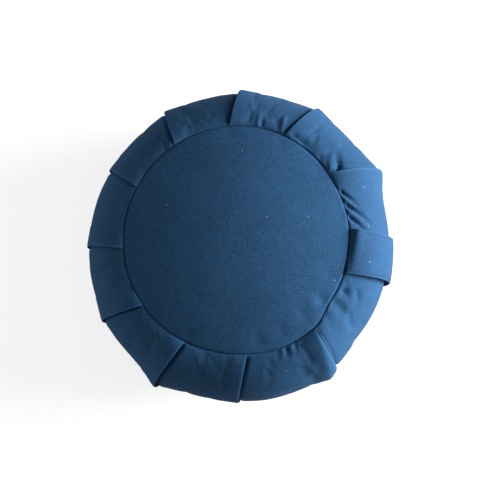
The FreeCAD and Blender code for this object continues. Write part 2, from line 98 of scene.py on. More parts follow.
# %% Grids, spins and finished meshes
def smooth(low, high, value):
    """0 below low, 1 above high, and an even S between them."""
    share = min(max((value - low) / (high - low), 0.0), 1.0)
    return share * share * (3 - 2 * share)


def add_object(name, data):
    thing = bpy.data.objects.new(name, data)
    bpy.context.collection.objects.link(thing)
    return thing


def refine(piece, levels=1):
    finer = piece.modifiers.new("finer", "SUBSURF")
    finer.levels = finer.render_levels = levels


def mark_wear_and_highlight(piece, values):
    """Writes how pale each point's rim is painted, as wear and as a painted highlight, for the cloth's
    material to read.
    """
    piece.data.attributes.new("edge", "FLOAT", "POINT").data.foreach_set("value", values)


def finish_mesh(name, bm, material, body, levels=0):
    """Turns a bmesh into a smooth piece that rides on a body."""
    for face in bm.faces:
        face.smooth = True
    mesh = bpy.data.meshes.new(name)
    bm.to_mesh(mesh)
    bm.free()
    piece = add_object(name, mesh)
    piece.data.materials.append(material)
    if levels:
        refine(piece, levels)
    if body:
        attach(piece, body)
    return piece


def bent_grid(columns, rows, place, cloth=None):
    """A grid whose point (column, row) goes to place(column, row); cloth gives its UV in metres."""
    bm = bmesh.new()
    bmesh.ops.create_grid(bm, x_segments=columns - 1, y_segments=rows - 1, size=0.5)
    layer = bm.loops.layers.uv.new("cloth")
    spots = {}
    for vert in bm.verts:
        column = round((vert.co.x + 0.5) * (columns - 1))
        row = round((vert.co.y + 0.5) * (rows - 1))
        spots[vert.index] = (column, row)
    for face in bm.faces:
        for loop in face.loops:
            column, row = spots[loop.vert.index]
            loop[layer].uv = cloth(column, row) if cloth else (column * 0.002, row * 0.002)
    for vert in bm.verts:
        vert.co = place(*spots[vert.index])
    bm.normal_update()
    return bm, spots


def spun_profile(points, steps):
    """Spins a profile of (radius, height) points round the upright axis."""
    bm = bmesh.new()
    line = [bm.verts.new((radius, 0, height)) for radius, height in points]
    for near, far in zip(line, line[1:]):
        bm.edges.new((near, far))
    bmesh.ops.spin(bm, geom=bm.verts[:] + bm.edges[:], cent=(0, 0, 0), axis=(0, 0, 1),
                   angle=math.tau, steps=steps, use_merge=True)
    bmesh.ops.remove_doubles(bm, verts=bm.verts, dist=1e-6)
    bmesh.ops.recalc_face_normals(bm, faces=bm.faces)
    return bm


# %% [markdown]
# ## Canvas
# The cover is plain-woven cotton canvas. A plain weave is two sets of threads that pass over and under each
# other, so its height is the larger of two rows of ridges, each raised where it passes over. Real yarn is
# uneven: thick places run along a thread and show as short pale and dark streaks. One node group holds the
# weave for every cloth in the cushion, and each material gives it its own yarn.

# %% Node helpers
def add_node(tree, kind, **values):
    node = tree.nodes.new(kind)
    for name, value in values.items():
        setattr(node, name, value)
    return node


def wire(tree, source, target):
    tree.links.new(source, target)


def math_node(tree, operation, first, second=None, third=None):
    node = add_node(tree, "ShaderNodeMath", operation=operation)
    for socket, value in zip(node.inputs, (first, second, third)):
        if value is None:
            continue
        if isinstance(value, (int, float)):
            socket.default_value = value
        else:
            wire(tree, value, socket)
    return node.outputs[0]


def new_material(name):
    """A new material, its nodes and its shader."""
    material = bpy.data.materials.new(name)
    material.use_nodes = True
    return material, material.node_tree, material.node_tree.nodes["Principled BSDF"]


def mixed_colour(tree, factor, first, second):
    """A mix of two colours. Each may be three numbers or the output of a node."""
    blend = add_node(tree, "ShaderNodeMix", data_type="RGBA")
    wire(tree, factor, blend.inputs["Factor"])
    for socket, colour in (("A", first), ("B", second)):
        if isinstance(colour, (tuple, list)):
            blend.inputs[socket].default_value = (*colour, 1)
        else:
            wire(tree, colour, blend.inputs[socket])
    return blend.outputs["Result"]


def raise_surface(tree, shader, height, strength, distance, **values):
    """Lets a height stand out of the surface by shading alone."""
    bump = add_node(tree, "ShaderNodeBump", **values)
    bump.inputs["Strength"].default_value = strength
    bump.inputs["Distance"].default_value = distance
    wire(tree, height, bump.inputs["Height"])
    wire(tree, bump.outputs[0], shader.inputs["Normal"])


def stretched_noise(tree, vector, scale, detail=2.0, rough=0.5):
    """Noise whose grain is longer one way: scale is (x, y, z), in grains per metre."""
    mapping = add_node(tree, "ShaderNodeMapping")
    mapping.inputs["Scale"].default_value = scale
    wire(tree, vector, mapping.inputs["Vector"])
    speckle = add_node(tree, "ShaderNodeTexNoise")
    speckle.inputs["Scale"].default_value = 1.0
    speckle.inputs["Detail"].default_value = detail
    speckle.inputs["Roughness"].default_value = rough
    wire(tree, mapping.outputs[0], speckle.inputs["Vector"])
    return speckle.outputs["Fac"]


# %% The weave group
# grains per metre: across and along a thread, soft clouds, fine flecks and specks of lint
ACROSS_YARN, ALONG_YARN, CLOUDS, FLECKS, LINT_SPOTS = 900, 130, 26, 520, 26
LINT_SIZE, LINT_RARE = 0.015, 0.86           # a speck's share of its cell, and the share of cells left clean
CROSSING = 0.4                               # how much of a ridge is due to the thread that it crosses


def make_weave_group():
    group = bpy.data.node_groups.new("plain_weave", "ShaderNodeTree")
    sockets = group.interface
    sockets.new_socket(name="Cloth", in_out="INPUT", socket_type="NodeSocketVector")
    pitch_socket = sockets.new_socket(name="Threads per metre", in_out="INPUT", socket_type="NodeSocketFloat")
    pitch_socket.default_value = 1600
    for name in ("Height", "Yarn", "Mottle", "Lint"):
        sockets.new_socket(name=name, in_out="OUTPUT", socket_type="NodeSocketFloat")
    entry = add_node(group, "NodeGroupInput")
    leave = add_node(group, "NodeGroupOutput")
    cloth, threads = entry.outputs["Cloth"], entry.outputs["Threads per metre"]

    split = add_node(group, "ShaderNodeSeparateXYZ")
    wire(group, cloth, split.inputs[0])
    half_turns = math_node(group, "MULTIPLY", threads, math.pi)
    warp = math_node(group, "SINE", math_node(group, "MULTIPLY", split.outputs["X"], half_turns))
    weft = math_node(group, "SINE", math_node(group, "MULTIPLY", split.outputs["Y"], half_turns))
    crossing = math_node(group, "MULTIPLY", math_node(group, "MULTIPLY", warp, weft), CROSSING)
    over = math_node(group, "MULTIPLY_ADD", math_node(group, "ABSOLUTE", warp), 1 - CROSSING, crossing)
    under_part = math_node(group, "MULTIPLY", math_node(group, "ABSOLUTE", weft), 1 - CROSSING)
    under = math_node(group, "SUBTRACT", under_part, crossing)
    ridges = math_node(group, "MAXIMUM", over, under)

    along_warp = stretched_noise(group, cloth, (ACROSS_YARN, ALONG_YARN, ALONG_YARN), 2.0, 0.6)
    along_weft = stretched_noise(group, cloth, (ALONG_YARN, ACROSS_YARN, ALONG_YARN), 2.0, 0.6)
    yarn = math_node(group, "MULTIPLY", math_node(group, "ADD", along_warp, along_weft), 0.5)
    height = math_node(group, "MULTIPLY_ADD", yarn, 0.7, ridges)

    cloud = stretched_noise(group, cloth, (CLOUDS,) * 3, 4.0, 0.6)
    fleck = stretched_noise(group, cloth, (FLECKS,) * 3, 2.0, 0.75)
    mottle = math_node(group, "MULTIPLY_ADD", fleck, 0.75, math_node(group, "MULTIPLY", cloud, 0.25))

    fluff = add_node(group, "ShaderNodeTexVoronoi", voronoi_dimensions="2D", feature="F1")
    fluff.inputs["Scale"].default_value = LINT_SPOTS
    wire(group, cloth, fluff.inputs["Vector"])
    speck = math_node(group, "LESS_THAN", fluff.outputs["Distance"], LINT_SIZE)
    pick = add_node(group, "ShaderNodeSeparateColor")
    wire(group, fluff.outputs["Color"], pick.inputs[0])
    rare = math_node(group, "GREATER_THAN", pick.outputs[0], LINT_RARE)
    lint = math_node(group, "MULTIPLY", speck, rare)

    for name, value in (("Height", height), ("Yarn", yarn), ("Mottle", mottle), ("Lint", lint)):
        wire(group, value, leave.inputs[name])
    return group


weave_group = make_weave_group()
print("weave group with", len(weave_group.nodes), "nodes")


# %% A cloth material
DARK_YARN, PALE_YARN, PALE_LIFT = 0.58, 1.40, 0.004      # the two tones, as shares of the cloth's colour
LINT_COLOUR = (0.55, 0.62, 0.66)
EDGE_WEAR_AND_HIGHLIGHT = 0.3                                          # how much paler a fold's rim is painted: some wear, and a painted highlight where light catches the ridge


def cloth_material(name, colour, pale, threads=1600, sheen=0.25, source="cloth", lint=0.5, depth=0.16):
    """Woven cloth. source is the UV map that holds metres of cloth, or None for object coordinates."""
    material, tree, shader = new_material(name)
    if source:
        where = add_node(tree, "ShaderNodeUVMap", uv_map=source).outputs[0]
    else:
        where = add_node(tree, "ShaderNodeTexCoord").outputs["Object"]
    weave = add_node(tree, "ShaderNodeGroup", node_tree=weave_group)
    wire(tree, where, weave.inputs["Cloth"])
    weave.inputs["Threads per metre"].default_value = threads

    spread = add_node(tree, "ShaderNodeMapRange")
    spread.inputs["From Min"].default_value = 0.36
    spread.inputs["From Max"].default_value = 0.64
    blend_yarn = math_node(tree, "MULTIPLY_ADD", weave.outputs["Yarn"], 0.45,
                           math_node(tree, "MULTIPLY", weave.outputs["Mottle"], 0.55))
    wire(tree, blend_yarn, spread.inputs["Value"])
    tone = mixed_colour(tree, spread.outputs[0], [part * DARK_YARN for part in colour],
                        [part * PALE_YARN + PALE_LIFT for part in colour])

    # a rim is painted paler by its edge value: some wear, and a painted highlight where light catches a
    # fold's ridge or the strap's edge
    edge = add_node(tree, "ShaderNodeAttribute", attribute_name="edge")
    worn_and_lit_tone = mixed_colour(tree, math_node(tree, "MULTIPLY", edge.outputs["Fac"], EDGE_WEAR_AND_HIGHLIGHT), tone, pale)
    specks = math_node(tree, "MULTIPLY", weave.outputs["Lint"], lint)
    wire(tree, mixed_colour(tree, specks, worn_and_lit_tone, LINT_COLOUR), shader.inputs["Base Color"])

    rough = math_node(tree, "MULTIPLY_ADD", weave.outputs["Yarn"], 0.12, 0.82)
    wire(tree, rough, shader.inputs["Roughness"])
    raise_surface(tree, shader, weave.outputs["Height"], 0.5, depth * MM)
    shader.inputs["Sheen Weight"].default_value = sheen
    shader.inputs["Sheen Roughness"].default_value = 0.55
    shader.inputs["Sheen Tint"].default_value = (*pale, 1)
    shader.inputs["Specular IOR Level"].default_value = 0.25
    return material


BLUE = (0.0122, 0.0655, 0.1570)
PALE_BLUE = (0.036, 0.145, 0.310)
canvas = cloth_material("canvas", BLUE, PALE_BLUE)
canvas_flat = cloth_material("canvas_panel", BLUE, PALE_BLUE, source=None)
print("cloth materials", canvas.name, canvas_flat.name)

# %% [markdown]
# ## The pleated side band
# The band is one strip, about a metre and a half long before it is folded. At each pleat it turns back under
# itself and then forward again, so three layers lie on each other, and the outer one ends in a soft fold. All
# ten laps go the same way round. The whole strip is one bent grid: between pleats its columns are evenly
# spread, and at a pleat they follow the fold's S. The folds are sewn down at both seams and open a little at
# the cushion's widest place, where they lean back and stand proud.

# %% The ten pleats, counted round from the strap
# angle at the seam, lean at the widest place, flare of the corner, step of the fold, fullness of the panel
# that follows, depth of the valley the fold hangs over, and how far the fold's edge is turned down, as it is
# where a fold was twisted in packing. Angles in degrees, the rest in millimetres.
PLEATS = [
    (41.1, 7.6, 12.0, 2.4, 4.2, 2.2, 0.0),
    (71.3, 5.5, 7.2, 3.4, 3.2, 3.2, 0.0),
    (100.4, 4.2, 3.6, 4.2, 1.6, 3.6, 0.0),
    (130.5, 4.0, 3.6, 2.8, 0.6, 2.4, 0.0),
    (159.6, 2.3, 1.4, 2.1, 1.2, 2.0, 0.0),
    (191.9, 4.6, 2.2, 2.3, 2.0, 1.8, 0.0),
    (222.5, 7.0, 4.6, 2.4, 1.6, 2.4, 0.0),
    (251.0, 5.0, 10.0, 3.4, 1.6, 3.0, 0.0),
    (283.4, 6.0, 2.0, 2.2, 3.0, 2.0, 0.0),
    (318.7, 2.6, 13.0, 2.6, -1.0, 2.6, 10.5),
]
FIRST_FULLNESS = -0.6 * MM
TURNED_WIDTH = 12 * MM        # how wide the turned part is at the widest place
LAYERS = 2.0 * MM             # three layers pressed together at a seam
SQUEEZE, SWELL = 0.015, 0.0135     # a full cushion is never quite round: narrow one way, long the other
FLARE_AHEAD, FLARE_BEHIND = 0.019, 0.021     # metres over which a corner's flare dies away
# the top seam pulls out into a blunt corner at the twisted pleat, degrees of turn
CORNER, CORNER_START, CORNER_PEAK, CORNER_END = 6.4 * MM, 262, 320, 335

# how the strip goes round a fold: how far ahead of the fold's edge, and at which of its three layers
FOLD_PATH = [
    (-9.0, 1.00), (-6.0, 1.00), (-3.6, 1.01), (-1.9, 1.01), (-0.8, 0.97), (-0.15, 0.88), (0.05, 0.76),
    (-0.25, 0.62), (-1.1, 0.54), (-3.0, 0.50), (-8.0, 0.47), (-14.0, 0.42), (-17.2, 0.33), (-18.0, 0.21),
    (-17.2, 0.09), (-14.0, 0.02), (-8.0, 0.00), (-3.0, 0.00), (-0.8, 0.00), (0.6, 0.00), (1.6, 0.00),
    (2.8, 0.00), (4.4, 0.00), (6.1, 0.00), (8.0, 0.00), (10.0, 0.00),
]
PANEL_COLUMNS, FIRST_PANEL_COLUMNS = 24, 50
# how a band's end is turned in beside the zip: how far out of the opening, and how high, in millimetres
ZIP_LIP = [(0.0, -3.2), (0.0, -1.6), (0.35, -0.45), (1.2, 0.0), (3.0, 0.0), (6.0, 0.0)]


def band_columns():
    """Every column of the strip: ("lip", side, step), ("fold", pleat, step) or ("panel", span, share)."""
    columns = [("lip", 1, step) for step in range(len(ZIP_LIP))]
    for span in range(len(PLEATS) + 1):
        count = FIRST_PANEL_COLUMNS if span == 0 else PANEL_COLUMNS
        for step in range(count):
            columns.append(("panel", span, (step + 1) / (count + 1)))
        if span < len(PLEATS):
            columns += [("fold", span, step) for step in range(len(FOLD_PATH))]
    columns += [("lip", -1, step) for step in reversed(range(len(ZIP_LIP)))]
    return columns


def band_rows():
    """Every row, as how far down the section it is (0 top seam, 1 bottom seam) and how deep in the seam."""
    length = BAND_DEPTH
    by_base = [0.0, 0.7, 1.6, 2.8, 4.4, 6.6, 9.4]
    by_top = by_base[:5] + [6.3, 8.5, 10.9, 13.5, 16.3, 19.4, 22.8, 26.6, 30.9, 35.8]
    even = 18
    rows = [(0.0, 3.4), (0.0, 1.9)] + [(gap * MM / length, 0.0) for gap in by_top]
    start, end = by_top[-1] * MM / length, 1 - by_base[-1] * MM / length
    rows += [(start + (end - start) * step / even, 0.0) for step in range(1, even)]
    rows += [(1 - gap * MM / length, 0.0) for gap in reversed(by_base)] + [(1.0, 1.9), (1.0, 3.4)]
    return rows


COLUMNS, ROWS = band_columns(), band_rows()
print("side band grid", len(COLUMNS), "x", len(ROWS))


# %% The plan of the cover
def from_seam(down):
    """Metres from the nearer seam."""
    return min(down, 1 - down) * BAND_DEPTH


def opening(down):
    """0 at the seams, 1 at the widest place."""
    return max(math.sin(math.pi * down), 0.0)


def corner_push(turn, reach, height):
    """How far the blunt corner is pulled out, most at the top seam and nothing at the base."""
    along = smooth(CORNER_START, CORNER_PEAK, turn) * (1 - smooth(CORNER_PEAK - 1, CORNER_END, turn))
    return CORNER * along * smooth(0.03, SEAM_RADIUS, reach) * smooth(0.03, 0.13, height)


def oval(point):
    """The cushion's slightly oval plan. It fades out at the strap, where the band must lie over the zip."""
    reach = math.hypot(point.x, point.y)
    if reach < 1e-9:
        return point
    at_strap = smooth(0.80, 0.98, point.x / reach)
    push = corner_push(math.degrees(math.atan2(point.y, point.x)) % 360, reach, point.z) / reach
    wide, long = 1 - SQUEEZE * (1 - at_strap) + push, 1 + SWELL + push
    return Vector((point.x * wide, point.y * long, point.z))


print("a point of the top seam, 30 degrees round:", oval(Vector((0.866, 0.5, 0)) * SEAM_RADIUS))


# %% The shape of a pleat and of the panels beside it
def fold_angle(pleat, down):
    angle, lean = PLEATS[pleat][:2]
    return math.radians(angle - lean * opening(down) ** 0.8)


def fullness(span):
    return FIRST_FULLNESS if span == 0 else PLEATS[span - 1][4] * MM


def layers(down):
    """Height of the two extra layers at a fold: pressed flat in the seam, fuller a little way from it."""
    return LAYERS * (0.35 + 0.65 * smooth(0.0, 10 * MM, from_seam(down)))


def panel_lift(span, ahead, behind, down):
    """Lift of a panel: ahead and behind are its distances to the pleats at its two ends."""
    lift = fullness(span)
    spread = opening(down) ** 0.75
    if span > 0:
        flare = (PLEATS[span - 1][2] - PLEATS[span - 1][6] * opening(down) ** 0.25) * MM
        lift += (flare - lift) * math.exp(-(behind / FLARE_BEHIND) ** 1.4)
    if span == len(PLEATS):
        return lift * spread
    flare, step = PLEATS[span][2] * MM, PLEATS[span][3] * MM
    lift += (flare + step - lift) * math.exp(-(ahead / FLARE_AHEAD) ** 1.5)
    on_layers = layers(down) * (1 - spread) * (1 - smooth(10 * MM, 22 * MM, ahead))
    turned = PLEATS[span][6] * MM * opening(down)
    if turned > 0:
        lift -= turned * max(0.0, 1 - ahead / (TURNED_WIDTH * opening(down)))
    return lift * spread + on_layers


widest_folds = [round(math.degrees(fold_angle(pleat, 0.5))) for pleat in range(len(PLEATS))]
print("folds at the widest place, degrees:", widest_folds)


# %% Where each point of the band goes
CLOSED_GAP, ZIP_GAP = 0.4, 6.1     # half of the gap between the band's ends, and what the zip adds, in mm


def half_gap(down):
    """Half of the gap between the band's two ends, wide along the zip and closed above and below it."""
    rise = abs(SEAM_RISE * (1 - 2 * down))
    return (CLOSED_GAP + ZIP_GAP * (1 - smooth(ZIP_RISE - 0.05, ZIP_RISE + 0.09, rise))) * MM


def band_spot(column, row):
    """The turn, the rise and the lift of a grid point, and how deep it is in a seam."""
    kind, which, step = COLUMNS[column]
    down, depth = ROWS[row]
    rise = SEAM_RISE * (1 - 2 * down)
    reach = ARC_AXIS + ARC_RADIUS * math.cos(rise)
    spread = opening(down)
    if kind == "lip":
        out, drop = ZIP_LIP[step]
        away = half_gap(down) + out * MM
        turn = which * away / reach
        lift = drop * MM + (FIRST_FULLNESS if which == 1 else fullness(len(PLEATS))) * spread * 0.5
        return turn % math.tau if which == 1 else math.tau + turn, rise, lift, depth
    if kind == "fold":
        ahead, layer = FOLD_PATH[step]
        turn = fold_angle(which, down) + ahead * MM / reach
        raised = PLEATS[which][3] * MM
        thick = layers(down) + (raised - layers(down)) * spread ** 0.75
        lift = panel_lift(which, max(-ahead, 0.0) * MM, 1.0, down) - (1 - layer) * thick
        if ahead > 2 and layer == 0:
            lift = panel_lift(which + 1, 1.0, ahead * MM, down)
        if layer < 0.45:
            valley = PLEATS[which][5] * MM * smooth(0.5 * MM, 6 * MM, from_seam(down))
            lift -= valley * math.exp(-(max(ahead, 0.0) / 2.6) ** 2)
        if ahead < -7 and layer < 0.9:
            lift -= 1.2 * MM * spread
        return turn, rise, lift, depth
    first = half_gap(down) + ZIP_LIP[-1][0] * MM
    start = first / reach if which == 0 else fold_angle(which - 1, down) + FOLD_PATH[-1][0] * MM / reach
    end = math.tau - first / reach
    if which < len(PLEATS):
        end = fold_angle(which, down) + FOLD_PATH[0][0] * MM / reach
    turn = start + (end - start) * step
    ahead = (end - turn) * reach - FOLD_PATH[0][0] * MM
    behind = (turn - start) * reach + FOLD_PATH[-1][0] * MM
    return turn, rise, panel_lift(which, ahead, behind, down), depth


# %% A point of the band in space, and on its cloth
def seam_dip(distance):
    """Cloth rolls down into a seam over its last few millimetres."""
    return -1.3 * MM * math.exp(-(distance / (1.3 * MM)) ** 2)


def band_place(column, row):
    turn, rise, lift, depth = band_spot(column, row)
    down = ROWS[row][0]
    lift += seam_dip(from_seam(down))
    radius = ARC_RADIUS + lift
    reach = ARC_AXIS + radius * math.cos(rise)
    height = MIDDLE + radius * math.sin(rise)
    side = 1 if down < 0.5 else -1
    reach -= 0.25 * depth * MM
    height -= side * depth * MM
    return oval(Vector((reach * math.cos(turn), reach * math.sin(turn), height)))


def band_cloth(column, row):
    """Metres of cloth along the strip and down it."""
    down, depth = ROWS[row]
    return STRIP_PLACE[column], down * BAND_DEPTH + depth * MM


def strip_places():
    """How far along the unfolded strip each column lies, measured at the widest place."""
    middle = min(range(len(ROWS)), key=lambda row: abs(ROWS[row][0] - 0.5))
    places, last = [0.0], band_place(0, middle)
    for column in range(1, len(COLUMNS)):
        here = band_place(column, middle)
        places.append(places[-1] + (here - last).length)
        last = here
    return places


STRIP_PLACE = strip_places()
print("strip length %.3f m at the widest place" % STRIP_PLACE[-1])


# %% [markdown]
# ## Settling
# The strip is bent by rule so far, and a rule is too even for cloth. A short simulation lets it settle: the
# seams and the folds are pinned, the fill pushes from inside, and each panel is given about one part in a
# hundred more cloth than it needs, so that it buckles softly where it meets the seams. The result is capped
# to a few millimetres, because a free simulation would swell the band past its seams.

# %% The cloth simulation
def settle(piece, pins, slack, cap, pressure, stiffness=12.0, bending=0.4, frames=20):
    """Runs a short cloth simulation on a piece, keeps a capped part of what it did, and removes it."""
    held = piece.vertex_groups.new(name="held")
    for index, weight in enumerate(pins):
        held.add([index], weight, "REPLACE")
    cloth = piece.modifiers.new("settle", "CLOTH")
    rules = cloth.settings
    rules.quality = 6
    rules.mass = 0.15
    rules.tension_stiffness = rules.compression_stiffness = stiffness
    rules.shear_stiffness = stiffness / 2
    rules.bending_stiffness = bending
    rules.vertex_group_mass = "held"
    rules.pin_stiffness = 1.0
    rules.shrink_min = -slack
    rules.use_pressure = True
    rules.uniform_pressure_force = pressure
    rules.effector_weights.gravity = 0
    cloth.collision_settings.use_collision = False
    cloth.point_cache.frame_start, cloth.point_cache.frame_end = 1, frames
    scene = bpy.context.scene
    for number in range(1, frames + 1):
        scene.frame_set(number)
    view = piece.evaluated_get(bpy.context.evaluated_depsgraph_get())
    count = len(piece.data.vertices)
    settled, start = np.empty(count * 3), np.empty(count * 3)
    view.data.vertices.foreach_get("co", settled)
    piece.data.vertices.foreach_get("co", start)
    piece.modifiers.remove(cloth)
    piece.vertex_groups.remove(held)
    scene.frame_set(1)
    moved = (settled - start).reshape(-1, 3)
    length = np.linalg.norm(moved, axis=1, keepdims=True) + 1e-12
    moved *= cap * np.tanh(length / cap) / length
    piece.data.vertices.foreach_set("co", start + moved.ravel())
    piece.data.update()
    return float(np.linalg.norm(moved, axis=1).max())


# %% Where the band is held
PANEL_WIDTH = 62 * MM
HELD_SEAM, HELD_FOLD = 6 * MM, 13 * MM       # how much of the cloth beside it a seam holds, and a fold


def band_pins(spots, count):
    """1 where the band is sewn or folded, 0 in the middle of a panel."""
    pins = []
    for index in range(count):
        column, row = spots[index]
        kind, _, share = COLUMNS[column]
        held = 1.0
        if kind == "panel":
            to_fold = min(PANEL_WIDTH * share, PANEL_WIDTH * (1 - share))
            held = 1 - min(smooth(1 * MM, HELD_SEAM, from_seam(ROWS[row][0])),
                           smooth(1 * MM, HELD_FOLD, to_fold))
        pins.append(held)
    return pins


# %% [markdown]
# ## Creases
# The deeper creases come from how the cover was sat on and packed. A simulation wouldn't put them where they
# are, so each one is pressed in along a given line: deepest at its start, fading towards its end, with a
# rounded section. They run from the seam, where the cloth is held, out into a panel.

# %% Pressing the creases in
# start (degrees round, share of the way down), end, depth and width in millimetres; a negative depth is a
# ridge
CREASES = [
    (30.0, 0.01, 21.5, 0.09, 4.2, 1.8), (23.0, 0.01, 12.0, 0.18, 4.8, 1.7),
    (17.0, 0.01, 9.0, 0.13, 4.2, 1.7), (26.0, 0.02, 16.5, 0.11, -1.4, 2.2),
    (19.5, 0.02, 11.0, 0.13, -1.2, 1.8), (83.8, 0.02, 84.4, 0.07, 1.9, 1.9),
    (85.6, 0.01, 86.2, 0.12, -1.7, 1.9), (76.8, 0.08, 75.0, 0.01, 1.0, 2.2),
    (74.8, 0.12, 73.0, 0.00, -2.4, 1.9), (66.0, 0.02, 57.0, 0.02, 2.2, 4.5),
    (61.0, 0.03, 55.0, 0.22, 1.0, 5.0), (39.5, 0.07, 47.5, 0.14, 7.0, 1.7),
    (42.5, 0.03, 48.2, 0.09, -2.0, 1.9), (50.0, 0.02, 49.0, 0.10, 1.0, 3.0),
    (298.5, 0.00, 296.5, 0.08, 1.2, 2.0), (302.6, 0.00, 301.8, 0.06, 3.4, 1.4),
    (307.0, 0.00, 306.2, 0.06, 2.6, 1.4), (300.4, 0.01, 299.4, 0.07, -1.2, 1.6),
    (304.8, 0.00, 304.0, 0.06, -1.2, 1.5), (312.0, 0.00, 311.4, 0.04, 1.6, 1.6),
    (340.6, 0.05, 339.6, 0.11, 4.2, 3.2), (342.5, 0.15, 339.0, 0.20, 4.0, 3.2),
    (341.0, 0.17, 337.0, 0.26, -1.0, 4.0), (334.0, 0.02, 331.0, 0.18, 1.2, 4.0),
    (327.0, 0.00, 325.0, 0.10, 1.4, 3.0), (135.5, 0.00, 133.5, 0.16, 1.6, 2.8),
    (118.0, 0.00, 116.0, 0.14, 0.8, 4.0), (228.0, 0.00, 229.0, 0.14, 1.2, 3.4),
    (212.0, 0.02, 209.0, 0.22, 0.9, 5.0), (262.0, 0.00, 263.0, 0.12, 1.0, 4.0),
    (200.0, 0.00, 198.0, 0.16, 0.9, 4.0), (170.0, 0.00, 168.5, 0.15, 0.9, 4.0),
]


def crease_depth(turn, down):
    """How far the creases press in at a place on the band."""
    reach = SEAM_RADIUS + (WIDEST - SEAM_RADIUS) * opening(down)
    depth = 0.0
    for start_turn, start_down, end_turn, end_down, deep, wide in CREASES:
        start = Vector((math.radians(start_turn) - turn, start_down - down))
        line = Vector((math.radians(end_turn - start_turn) * reach, (end_down - start_down) * BAND_DEPTH))
        here = Vector((-start.x * reach, -start.y * BAND_DEPTH))
        share = here.dot(line) / line.length_squared
        away = (here - line * min(max(share, 0.0), 1.0)).length / (wide * MM)
        if away < 3:
            taper = 1 - 0.7 * min(max(share, 0.0), 1.0)
            depth += deep * MM * taper * math.exp(-away * away)
    return depth * smooth(0.3 * MM, 3.5 * MM, from_seam(down))


def crease(piece, spots):
    """Presses the creases into the outer layer along its normals."""
    normals = [vert.normal.copy() for vert in piece.data.vertices]
    for index, vert in enumerate(piece.data.vertices):
        column, row = spots[index]
        kind, _, step = COLUMNS[column]
        if kind == "lip" or not 0 < ROWS[row][0] < 1:
            continue
        if kind == "fold" and FOLD_PATH[step][1] not in (0.0, 1.0):
            continue
        vert.co -= normals[index] * crease_depth(band_spot(column, row)[0], ROWS[row][0])
    piece.data.update()


print("creases and ridges", len(CREASES))

# %% Make the band
RIM_STEPS = range(3, 7)            # the columns that go round a fold's edge, painted paler: some wear, and a painted highlight on the ridge
RIM_WEAR_AND_HIGHLIGHT = 0.9


def make_side_band():
    bm, spots = bent_grid(len(COLUMNS), len(ROWS), band_place, band_cloth)
    outward = sum(face.normal.dot(Vector((face.calc_center_median().x, face.calc_center_median().y, 0)))
                  for face in bm.faces)
    if outward < 0:
        bmesh.ops.reverse_faces(bm, faces=bm.faces)
    piece = finish_mesh("pleated_side_band", bm, canvas, "cushion")
    pins = band_pins(spots, len(piece.data.vertices))
    moved = settle(piece, pins, slack=0.009, cap=3.2 * MM, pressure=2.5)
    print("the band settled by up to %.1f mm" % (moved / MM))
    crease(piece, spots)
    refine(piece)
    # the rim of each fold is painted paler: some wear, and a painted highlight of the light on its ridge
    wear_and_highlight = []
    for index in range(len(piece.data.vertices)):
        kind, _, step = COLUMNS[spots[index][0]]
        wear_and_highlight.append(RIM_WEAR_AND_HIGHLIGHT if kind == "fold" and step in RIM_STEPS else 0.0)
    mark_wear_and_highlight(piece, wear_and_highlight)
    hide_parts("side_band")
    return piece


side_band = make_side_band()
print("side band", len(side_band.data.polygons), "faces")

# %% [markdown]
# ## The top and bottom panels
# Each round panel is a profile spun about the upright axis: a low crown that rolls down into the seam. It
# could be simulated as the band is, but a tight round panel hardly moves, so its few soft hollows are pressed
# in one by one. The base is the same panel with the cushion's weight on it: flat over most of its width.

# %% The top panel's profile and hollows
def panel_profile(rings):
    """From the middle of the top panel out to its seam and down into it."""
    points = []
    crown = CROWN - TOP_SEAM
    for ring in range(rings + 1):
        radius = (SEAM_RADIUS - 3.2 * MM) * ring / rings
        points.append((radius, TOP_SEAM + crown * (1 - (radius / SEAM_RADIUS) ** 2)))
    for inside, dip in ((2.0, -0.1), (1.1, -0.45), (0.55, -1.1), (0.35, -2.2), (0.35, -3.8)):
        radius = SEAM_RADIUS - inside * MM
        points.append((radius, TOP_SEAM + crown * (1 - (radius / SEAM_RADIUS) ** 2) + dip * MM))
    return points


# soft hollows of the top panel: degrees round, share of the radius, then depth, length outward and width in
# millimetres
HOLLOWS = [
    (331, 0.93, 1.9, 7, 6), (327, 0.90, -0.8, 10, 6), (318, 0.90, 1.1, 10, 7), (303, 0.92, 0.7, 9, 5),
    (290, 0.93, 0.8, 9, 5), (345, 0.90, 0.8, 9, 7), (18, 0.93, 0.8, 9, 6), (45, 0.94, 0.7, 8, 6),
    (72, 0.95, 0.8, 8, 5), (100, 0.95, 0.6, 8, 5), (160, 0.94, 0.6, 8, 6), (222, 0.94, 0.6, 8, 6),
    (251, 0.95, 0.7, 8, 5), (130, 0.50, 0.7, 34, 22), (275, 0.45, 0.6, 30, 26), (20, 0.40, -0.6, 30, 24),
]


def hollow_depth(place):
    """How far the hollows press in at a place on the top panel."""
    depth = 0.0
    for degrees, share, deep, long, wide in HOLLOWS:
        turn = math.radians(degrees)
        outward = Vector((math.cos(turn), math.sin(turn)))
        here = place.xy - outward * share * SEAM_RADIUS
        along, aside = here.dot(outward) / (long * MM), here.cross(outward) / (wide * MM)
        depth += deep * MM * math.exp(-along * along - aside * aside)
    return depth * smooth(0.2 * MM, 5 * MM, SEAM_RADIUS - place.xy.length)


# %% Make the top panel
RINGS, STEPS_ROUND = 34, 180


def make_top_panel():
    bm = spun_profile(panel_profile(RINGS), STEPS_ROUND)
    for vert in bm.verts:
        vert.co = oval(vert.co)
        vert.co.z -= hollow_depth(vert.co)
    piece = finish_mesh("crowned_top_panel", bm, canvas_flat, "cushion", levels=1)
    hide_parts("top_panel")
    return piece


top_panel = make_top_panel()
print("top panel", len(top_panel.data.polygons), "faces")

# %% Make the base panel
BASE_FLAT, BASE_LIFT = 0.105, 0.0006         # radius of what lies on the floor, and half of the cloth


